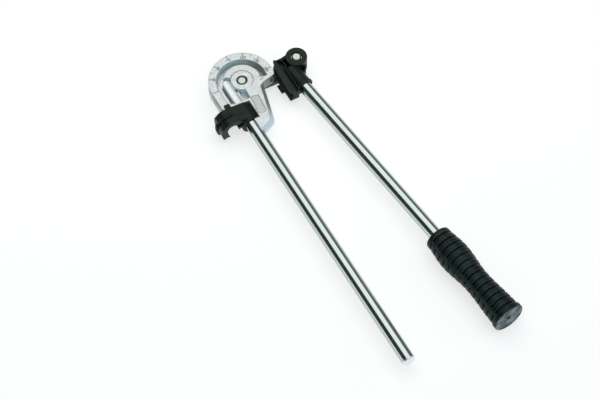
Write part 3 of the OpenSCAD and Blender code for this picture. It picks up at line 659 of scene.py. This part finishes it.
# Pipe hook: the moulded black hook that swings on the handle tube and holds the work in the groove.
# It is glass-filled plastic with a sleeve, two curled arms and a rest tab that lies on the former.
plastic_low = (0.005, 0.008, 0.006)
plastic_high = (0.010, 0.016, 0.012)
# The edge tone is wear and a painted highlight; the hollow tone is painted shade.
plastic_wear_and_sheen = (0.075, 0.095, 0.082)
plastic_hollow_shade = (0.003, 0.003, 0.003)
plastic_sheen = (0.78, 1.0, 0.86, 1)


def moulded_plastic(name, low, high, roughness):
    """Satin black plastic with a fine mould texture, paler along its edges with wear and a painted
    highlight, and darkened in its hollows with painted shade.
    """
    material, tree, shader = new_finish(name)
    grain = place_group(tree, speckle, Grain=1300, Pits=700)
    edges = place_group(tree, wear_sheen_and_shade, Reach=0.12)
    colour = mix_colours(tree, grain["Grain"], low, high)
    # Wear and a painted highlight: proud edges are painted paler.
    colour = mix_colours(tree, steps(tree, edges["Edge"], 0.25, 1, 0, 0.7), colour, plastic_wear_and_sheen)
    # Painted shade: hollows are painted near black.
    colour = mix_colours(tree, steps(tree, edges["Hollow"], 0.2, 1, 0, 0.6), colour, plastic_hollow_shade)
    tree.links.new(colour, shader.inputs["Base Color"])
    skin = steps(tree, grain["Grain"], 0, 1, roughness * 1.1, roughness * 0.9)
    tree.links.new(skin, shader.inputs["Roughness"])
    raise_bump(tree, shader, grain["Height"], strength=0.12, distance=0.04 * mm)
    shader.inputs["Specular IOR Level"].default_value = 0.29
    shader.inputs["Specular Tint"].default_value = plastic_sheen
    return material


black_plastic = moulded_plastic("black_plastic", plastic_low, plastic_high, roughness=0.42)
hook = rounded_copy("pipe_hook", "hook_moulding", voxel=0.3 * mm, passes=14, share=0.5)
coat(hook.data, black_plastic)
belongs(hook, "hook", "black_plastic", "pipe_hook")


# Swing link: a blackened flat steel bar under former and lever head, with a pin fixed in each end.
# It carries the lever's eye round the pivot.
black_low = (0.05, 0.051, 0.053)
black_high = (0.09, 0.09, 0.092)
bare_steel = (0.36, 0.36, 0.37)


def blackened_steel(name, edge_tone):
    """Oil-blackened steel, which takes another tone along its worn edges."""
    material, tree, shader = new_finish(name)
    grain = place_group(tree, speckle, Grain=700, Pits=400)
    edges = place_group(tree, wear_sheen_and_shade, Reach=0.10)
    colour = mix_colours(tree, grain["Grain"], black_low, black_high)
    colour = mix_colours(tree, steps(tree, edges["Edge"], 0.3, 1, 0, 0.8), colour, edge_tone)
    tree.links.new(colour, shader.inputs["Base Color"])
    tree.links.new(steps(tree, grain["Grain"], 0, 1, 0.5, 0.36), shader.inputs["Roughness"])
    shader.inputs["Metallic"].default_value = 0.9
    return material


link = rounded_copy("swing_link", "link_bar", voxel=0.4 * mm, passes=3, share=0.3)
coat(link.data, blackened_steel("dark_steel", bare_steel))
belongs(link, "link", "dark_steel", "swing_link")


# Pivot pin and eye pin: turned steel pins with a flat head beneath and a ring groove near the top.
# They are fixed in the swing link; the former turns on one and the lever head on the other.
pin_radius = 4.5 * mm
pin_neck = 4.1 * mm
pin_head = 7.0 * mm
head_height = 3.5 * mm
head_chamfer = 0.7 * mm
pin_chamfer = 0.6 * mm
eye = joint_at["lever_pivot"]
for pin, ring, centre in (
    ("pivot_pin", "pivot_retaining_ring", pivot),
    ("eye_pin", "eye_retaining_ring", eye),
):
    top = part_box(pin)[1].z
    ring_low, ring_high = (corner.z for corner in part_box(ring))
    pin_profile = [
        (0, 0),
        (pin_head - head_chamfer, 0),
        (pin_head, head_chamfer),
        (pin_head, head_height - head_chamfer / 2),
        (pin_head - head_chamfer / 2, head_height),
        (pin_radius, head_height),
        (pin_radius, ring_low),
        (pin_neck, ring_low),
        (pin_neck, ring_high),
        (pin_radius, ring_high),
        (pin_radius, top - pin_chamfer),
        (pin_radius - pin_chamfer, top),
        (0, top),
    ]
    pin_place = Matrix.Translation((centre.x, centre.y, 0))
    turned_pin = turned(pin + "_turned", pin_profile, pin_place, closed=False)
    coat(turned_pin.data, pin_steel)
    belongs(turned_pin, "link", "pin_steel", pin)


# Retaining rings and washers: spring steel rings snapped into the pins' grooves, over thin washers.
# The rings and the pivot's washer are blackened; the eye's washer and the thrust washers are bright.
oiled_edge = (0.03, 0.03, 0.03)
ring_steel = blackened_steel("oiled_steel", oiled_edge)
finish_nodes(ring_steel, "pivot_retaining_ring", "pivot_top_washer", "eye_retaining_ring")
finish_nodes(pin_steel, "eye_top_washer", "pivot_thrust_washer", "eye_thrust_washer")


# Lever head: the black moulded head that joins lever tube, eye and slide shoe.
# It is one glass-filled moulding with a boss, a half-round socket and a backing rib with a slot.
head = rounded_copy("lever_head", "head_moulding", voxel=0.28 * mm, passes=4, share=0.5)
coat(head.data, black_plastic)
belongs(head, "lever", "black_plastic", "lever_head")


# Slide shoe: the grooved bar that presses the work round the former.
# It is moulded of a harder, smoother plastic, with a tongue that the lever head holds.
shoe_low = (0.011, 0.0155, 0.012)
shoe_high = (0.019, 0.027, 0.021)
shoe = rounded_copy("slide_shoe", "shoe_moulding", voxel=0.3 * mm, passes=8, share=0.5)
coat(shoe.data, moulded_plastic("shoe_plastic", shoe_low, shoe_high, roughness=0.5))
belongs(shoe, "lever", "shoe_plastic", "slide_shoe")


# Lever tube: the same plated tube as the fixed handle, pushed into the lever head's socket.
# A cross pin holds it; the grip covers its free end.
lever_lean = math.radians(6.7)
lever_beside_eye = 11.8 * mm
lever_tube_from = 12 * mm
lever_tube_to = 397.5 * mm
lever_length = lever_tube_to - lever_tube_from
lever_foot = eye - Vector((lever_beside_eye, 0, 0))


def on_lever(distance):
    """Place on the lever's axis: Z runs along the lever towards the grip, X to its right, Y up."""
    right = Vector((math.cos(lever_lean), math.sin(lever_lean), 0))
    along = Vector((math.sin(lever_lean), -math.cos(lever_lean), 0))
    spot = lever_foot + along * distance
    return Matrix.Translation(spot) @ Matrix((right, (0, 0, 1), along)).transposed().to_4x4()


lever_profile = [
    (tube_bore, 0),
    (tube_radius - tube_edge, 0),
    (tube_radius, tube_edge),
    (tube_radius, lever_length - tube_edge),
    (tube_radius - tube_edge, lever_length),
    (tube_bore, lever_length),
]
lever_tube = turned("lever_shaft", lever_profile, on_lever(lever_tube_from), closed=True)
coat(lever_tube.data, tube_steel)
belongs(lever_tube, "lever", "plated_steel", "lever_tube")


# Grip: a black rubber sleeve pulled over the lever tube, with a short collar and an end flange.
# Its cross grooves stop at two smooth strips that run along it.
# The strips are painted a little paler as painted light, and the end face is worn grey.
grip_from = 278.5 * mm
grip_length = 127 * mm
grip_bore = 7.53 * mm
collar_radius = 15.0 * mm
collar_length = 6 * mm
collar_round = 2 * mm
swell_radius = 17.85 * mm
swell_at = 31.5 * mm
waist_radius = 14.6 * mm
waist_at = 71 * mm
neck_radius = 17.4 * mm
flange_radius = 18.7 * mm
flange_length = 7 * mm
flange_round = 1.4 * mm
groove_count = 14
groove_width = 3.3 * mm
groove_depth = 2.4 * mm
groove_edge = 0.3 * mm
strip_angles = (145, 325)
strip_half = 6.5
strip_end = 1.2
end_disc_radius = 16.6 * mm
end_disc_sink = 0.35 * mm
vent_radius = 2.5 * mm
end_wall = 8 * mm
angle_step = 2.25
grip_crease = 35
neck_at = grip_length - flange_length
groove_pitch = (neck_at - groove_width - collar_length) / (groove_count - 1)
rubber_low = (0.004, 0.006, 0.0055)
rubber_high = (0.011, 0.018, 0.017)
# Edge tones are wear and a painted highlight; the hollow tone is painted shade.
rubber_wear_and_sheen = (0.24, 0.30, 0.30)
rubber_hollow_shade = (0.002, 0.002, 0.002)
rubber_sheen = (0.60, 1.0, 0.96, 1)
worn_low = (0.06, 0.085, 0.092)
worn_high = (0.33, 0.43, 0.455)
# The end face's edge tone is wear and a painted highlight.
end_wear_and_sheen = (0.20, 0.26, 0.27)
# Painted light: the smooth strips are painted paler than the ribs.
strip_painted_light_low = (0.008, 0.016, 0.016)
strip_painted_light_high = (0.024, 0.042, 0.042)
rib_finish, end_finish, strip_finish = range(3)


def eased(first, second, share):
    """A value between two others, starting and ending level."""
    return first + (second - first) * (1 - math.cos(math.pi * share)) / 2


def grip_radius(along):
    """Radius of the grip over its ribs, at a distance from its mouth."""
    if along < swell_at:
        return eased(collar_radius, swell_radius, along / swell_at)
    if along < waist_at:
        return eased(swell_radius, waist_radius, (along - swell_at) / (waist_at - swell_at))
    return eased(waist_radius, neck_radius, (along - waist_at) / (neck_at - waist_at))


def groove_stations():
    """Distances from the mouth and depths below the ribs, along all grooves and ribs."""
    wall = [
        (-groove_edge, 0),
        (-0.2 * groove_edge, 0.25 * groove_edge),
        (0.2 * groove_edge, groove_edge),
        (groove_edge, groove_depth - groove_edge),
        (2 * groove_edge, groove_depth),
    ]
    stations = []
    for i in range(groove_count):
        start = collar_length + i * groove_pitch
        stations += [(start + along, deep) for along, deep in wall]
        stations += [(start + groove_width - along, deep) for along, deep in wall[::-1]]
        if i < groove_count - 1:
            rib_from = start + groove_width + groove_edge
            rib_length = groove_pitch - groove_width - 2 * groove_edge
            stations += [(rib_from + rib_length * share, 0) for share in (0.25, 0.5, 0.75)]
    return stations


def share_of_groove(angle):
    """Share of the groove's depth at an angle round the grip: none on the two strips."""
    away = min(abs((angle - strip + 180) % 360 - 180) for strip in strip_angles)
    return min(1, max(0, (away - strip_half) / strip_end))


def grip_angles():
    """Angles of the grip's points, with extra ones where the grooves stop."""
    angles = {i * angle_step for i in range(round(360 / angle_step))}
    for strip in strip_angles:
        for away in (strip_half, strip_half + strip_end):
            angles |= {strip - away, strip + away}
    return sorted(angles)


def arc_points(centre, radius, start, end, count):
    """Points of an arc in the (radius, distance) plane, from one angle to another."""
    turns = [math.radians(start + (end - start) * i / count) for i in range(count + 1)]
    return [(centre[0] + radius * math.cos(turn), centre[1] + radius * math.sin(turn)) for turn in turns]


def grip_rings(shares):
    """The grip's rings in order: each is a list of radii round the grip, a distance and a finish."""
    mouth = (collar_radius - collar_round, collar_round)
    flange_foot = (flange_radius - flange_round, neck_at + 1.2 * flange_round)
    flange_end = (flange_radius - flange_round, grip_length - flange_round)
    disc_at = grip_length - end_disc_sink
    wall_at = grip_length - end_wall
    collar = [(grip_bore, 0, rib_finish)]
    collar += [(*spot, rib_finish) for spot in arc_points(mouth, collar_round, -90, 0, 6)]
    flange = [(*spot, rib_finish) for spot in arc_points(flange_foot, flange_round, -60, 0, 5)]
    flange += [(*spot, rib_finish) for spot in arc_points(flange_end, flange_round, 0, 30, 2)]
    flange += [(*spot, end_finish) for spot in arc_points(flange_end, flange_round, 45, 90, 3)]
    flange += [
        (end_disc_radius + end_disc_sink, grip_length, end_finish),
        (end_disc_radius, disc_at, end_finish),
        (end_disc_radius / 2, disc_at + end_disc_sink / 2, end_finish),
        (vent_radius + end_disc_sink, disc_at, end_finish),
        (vent_radius, disc_at - end_disc_sink, rib_finish),
        (vent_radius, disc_at - 2 * end_disc_sink, rib_finish),
        (vent_radius, disc_at - 4 * end_disc_sink, rib_finish),
        (vent_radius, wall_at, rib_finish),
        (grip_bore, wall_at, rib_finish),
    ]
    rings = [([radius] * len(shares), along, finish) for radius, along, finish in collar]
    for along, deep in groove_stations():
        radii = [grip_radius(along) - share * deep for share in shares]
        rings.append((radii, along, strip_finish))
    return rings + [([radius] * len(shares), along, finish) for radius, along, finish in flange]


def grip_rubber(name, low, high, edge, roughness):
    """Matt black rubber with a fine skin, in the low and high tones that it is given. Its edges are paler
    with wear and a painted highlight, and its hollows are darkened with painted shade.
    """
    material, tree, shader = new_finish(name)
    grain = place_group(tree, speckle, Grain=1000, Pits=1400)
    edges = place_group(tree, wear_sheen_and_shade, Reach=0.10)
    broad = add_node(tree, "TexNoise", Scale=95, Detail=7, Roughness=0.62)
    place = tree.nodes.new("ShaderNodeTexCoord").outputs["Object"]
    tree.links.new(place, broad.inputs["Vector"])
    colour = mix_colours(tree, steps(tree, broad.outputs["Fac"], 0.40, 0.62), low, high)
    # Wear and a painted highlight: proud edges are painted paler.
    colour = mix_colours(tree, steps(tree, edges["Edge"], 0.18, 0.85, 0, 0.8), colour, edge)
    # Painted shade: hollows and grooves are painted near black.
    colour = mix_colours(tree, steps(tree, edges["Hollow"], 0.1, 0.7, 0, 0.9), colour, rubber_hollow_shade)
    tree.links.new(colour, shader.inputs["Base Color"])
    skin = steps(tree, grain["Grain"], 0, 1, roughness * 1.12, roughness * 0.88)
    tree.links.new(skin, shader.inputs["Roughness"])
    raise_bump(tree, shader, grain["Height"], strength=0.15, distance=0.05 * mm)
    shader.inputs["Specular IOR Level"].default_value = 0.26
    shader.inputs["Specular Tint"].default_value = rubber_sheen
    return material


grip_turns = [math.radians(angle) for angle in grip_angles()]
groove_shares = [share_of_groove(angle) for angle in grip_angles()]
grip_shape = bmesh.new()
ring_points = []
ring_finishes = []
for radii, along, finish in grip_rings(groove_shares):
    ring_points.append([grip_shape.verts.new(spot) for spot in ring_spots(radii, grip_turns, along)])
    ring_finishes.append(finish)
for i, lower in enumerate(ring_points):
    upper = ring_points[(i + 1) % len(ring_points)]
    for side in range(len(grip_turns)):
        face = grip_shape.faces.new((lower[side - 1], lower[side], upper[side], upper[side - 1]))
        is_grooved = groove_shares[side - 1] + groove_shares[side] > 0
        is_rib = ring_finishes[i] == strip_finish and is_grooved
        face.material_index = rib_finish if is_rib else ring_finishes[i]
grip_mesh = smooth_mesh("grip_sleeve", grip_shape, grip_crease)
for rubber in (
    grip_rubber("black_rubber", rubber_low, rubber_high, rubber_wear_and_sheen, roughness=0.45),
    grip_rubber("worn_rubber", worn_low, worn_high, end_wear_and_sheen, roughness=0.5),
    # The strips' rubber is painted paler: painted light.
    grip_rubber("strip_rubber", strip_painted_light_low, strip_painted_light_high, rubber_wear_and_sheen, roughness=0.45),
):
    grip_mesh.materials.append(rubber)
grip = new_piece("grip_sleeve", grip_mesh)
grip.matrix_world = on_lever(grip_from)
belongs(grip, "lever", "black_rubber", "lever_grip")


# Studio: a white floor under the object, one broad softbox overhead and a bright wall behind the camera.
# The far side of the room is dim, darkest on the left, which draws the dark line along the bright tubes.
floor_half = 9.0
floor_tone = (0.52, 0.52, 0.52, 1)
floor_lift = 0.66
softbox_size = (2.1, 2.2)
softbox_place = (0.22, 0.55, 1.6)
softbox_power = 17.5
far_left = (0.045, 0.05, 0.048)
far_right = (0.17, 0.18, 0.175)
near_left = (0.40, 0.42, 0.41)
near_right = (0.66, 0.76, 0.84)


def floor_paper():
    """White paper that keeps the object's shadow, lifted to white where it is seen or mirrored.

    From beneath it is clear.
    """
    material = bpy.data.materials.new("floor_paper")
    material.use_nodes = True
    tree = material.node_tree
    tree.nodes.clear()
    paper = add_node(tree, "BsdfDiffuse", Color=floor_tone)
    rays = tree.nodes.new("ShaderNodeLightPath").outputs
    mirrored = calculate(tree, "MAXIMUM", rays["Is Glossy Ray"], rays["Is Transmission Ray"])
    seen = calculate(tree, "MAXIMUM", rays["Is Camera Ray"], mirrored)
    glow = add_node(tree, "Emission", Color=(1, 1, 1, 1))
    tree.links.new(calculate(tree, "MULTIPLY", seen, floor_lift), glow.inputs["Strength"])
    both = tree.nodes.new("ShaderNodeAddShader")
    tree.links.new(paper.outputs["BSDF"], both.inputs[0])
    tree.links.new(glow.outputs["Emission"], both.inputs[1])
    sides = tree.nodes.new("ShaderNodeMixShader")
    tree.links.new(tree.nodes.new("ShaderNodeNewGeometry").outputs["Backfacing"], sides.inputs["Fac"])
    tree.links.new(both.outputs["Shader"], sides.inputs[1])
    tree.links.new(tree.nodes.new("ShaderNodeBsdfTransparent").outputs["BSDF"], sides.inputs[2])
    out = tree.nodes.new("ShaderNodeOutputMaterial")
    tree.links.new(sides.outputs["Shader"], out.inputs["Surface"])
    return material


floor_mesh = bpy.data.meshes.new("floor")
floor_corners = [
    (-floor_half, -floor_half, 0),
    (floor_half, -floor_half, 0),
    (floor_half, floor_half, 0),
    (-floor_half, floor_half, 0),
]
floor_mesh.from_pydata(floor_corners, [], [(0, 1, 2, 3)])
coat(floor_mesh, floor_paper())
floor = new_piece("floor", floor_mesh)

softbox_light = bpy.data.lights.new("softbox", "AREA")
softbox_light.shape = "RECTANGLE"
softbox_light.size, softbox_light.size_y = softbox_size
softbox_light.energy = softbox_power
softbox = new_piece("softbox", softbox_light)
softbox.location = softbox_place

world = bpy.data.worlds.new("room")
bpy.context.scene.world = world
world.use_nodes = True
room = world.node_tree
way = coordinates(room, "Generated")
aside = steps(room, way["X"], -0.7, 0.8)
in_front = steps(room, way["Y"], 0.15, -0.35)
far_room = mix_colours(room, aside, far_left, far_right)
near_room = mix_colours(room, aside, near_left, near_right)
room_colour = mix_colours(room, in_front, far_room, near_room)
room.links.new(room_colour, room.nodes["Background"].inputs["Color"])


# Camera: a long lens high on the left, as in the photograph.
# Its place comes from the angles and the distance that were fitted to tubes, rim and eye.
look_at = Vector((-18.6, -166.3, 19.0)) * mm
look_azimuth = math.radians(-29.4)
look_height = math.radians(58)
look_distance = 3.2
focal_pixels = 2910
picture_width = 600
camera_data = bpy.data.cameras.new("camera")
camera_data.sensor_width = 36
camera_data.lens = focal_pixels / picture_width * camera_data.sensor_width
camera = new_piece("camera", camera_data)
level = math.cos(look_height)
away = Vector((math.sin(look_azimuth) * level, -math.cos(look_azimuth) * level, math.sin(look_height)))
camera.location = look_at + away * look_distance
camera.rotation_euler = (-away).to_track_quat("-Z", "Y").to_euler()
bpy.context.scene.camera = camera
bpy.context.scene.view_settings.view_transform = "Standard"
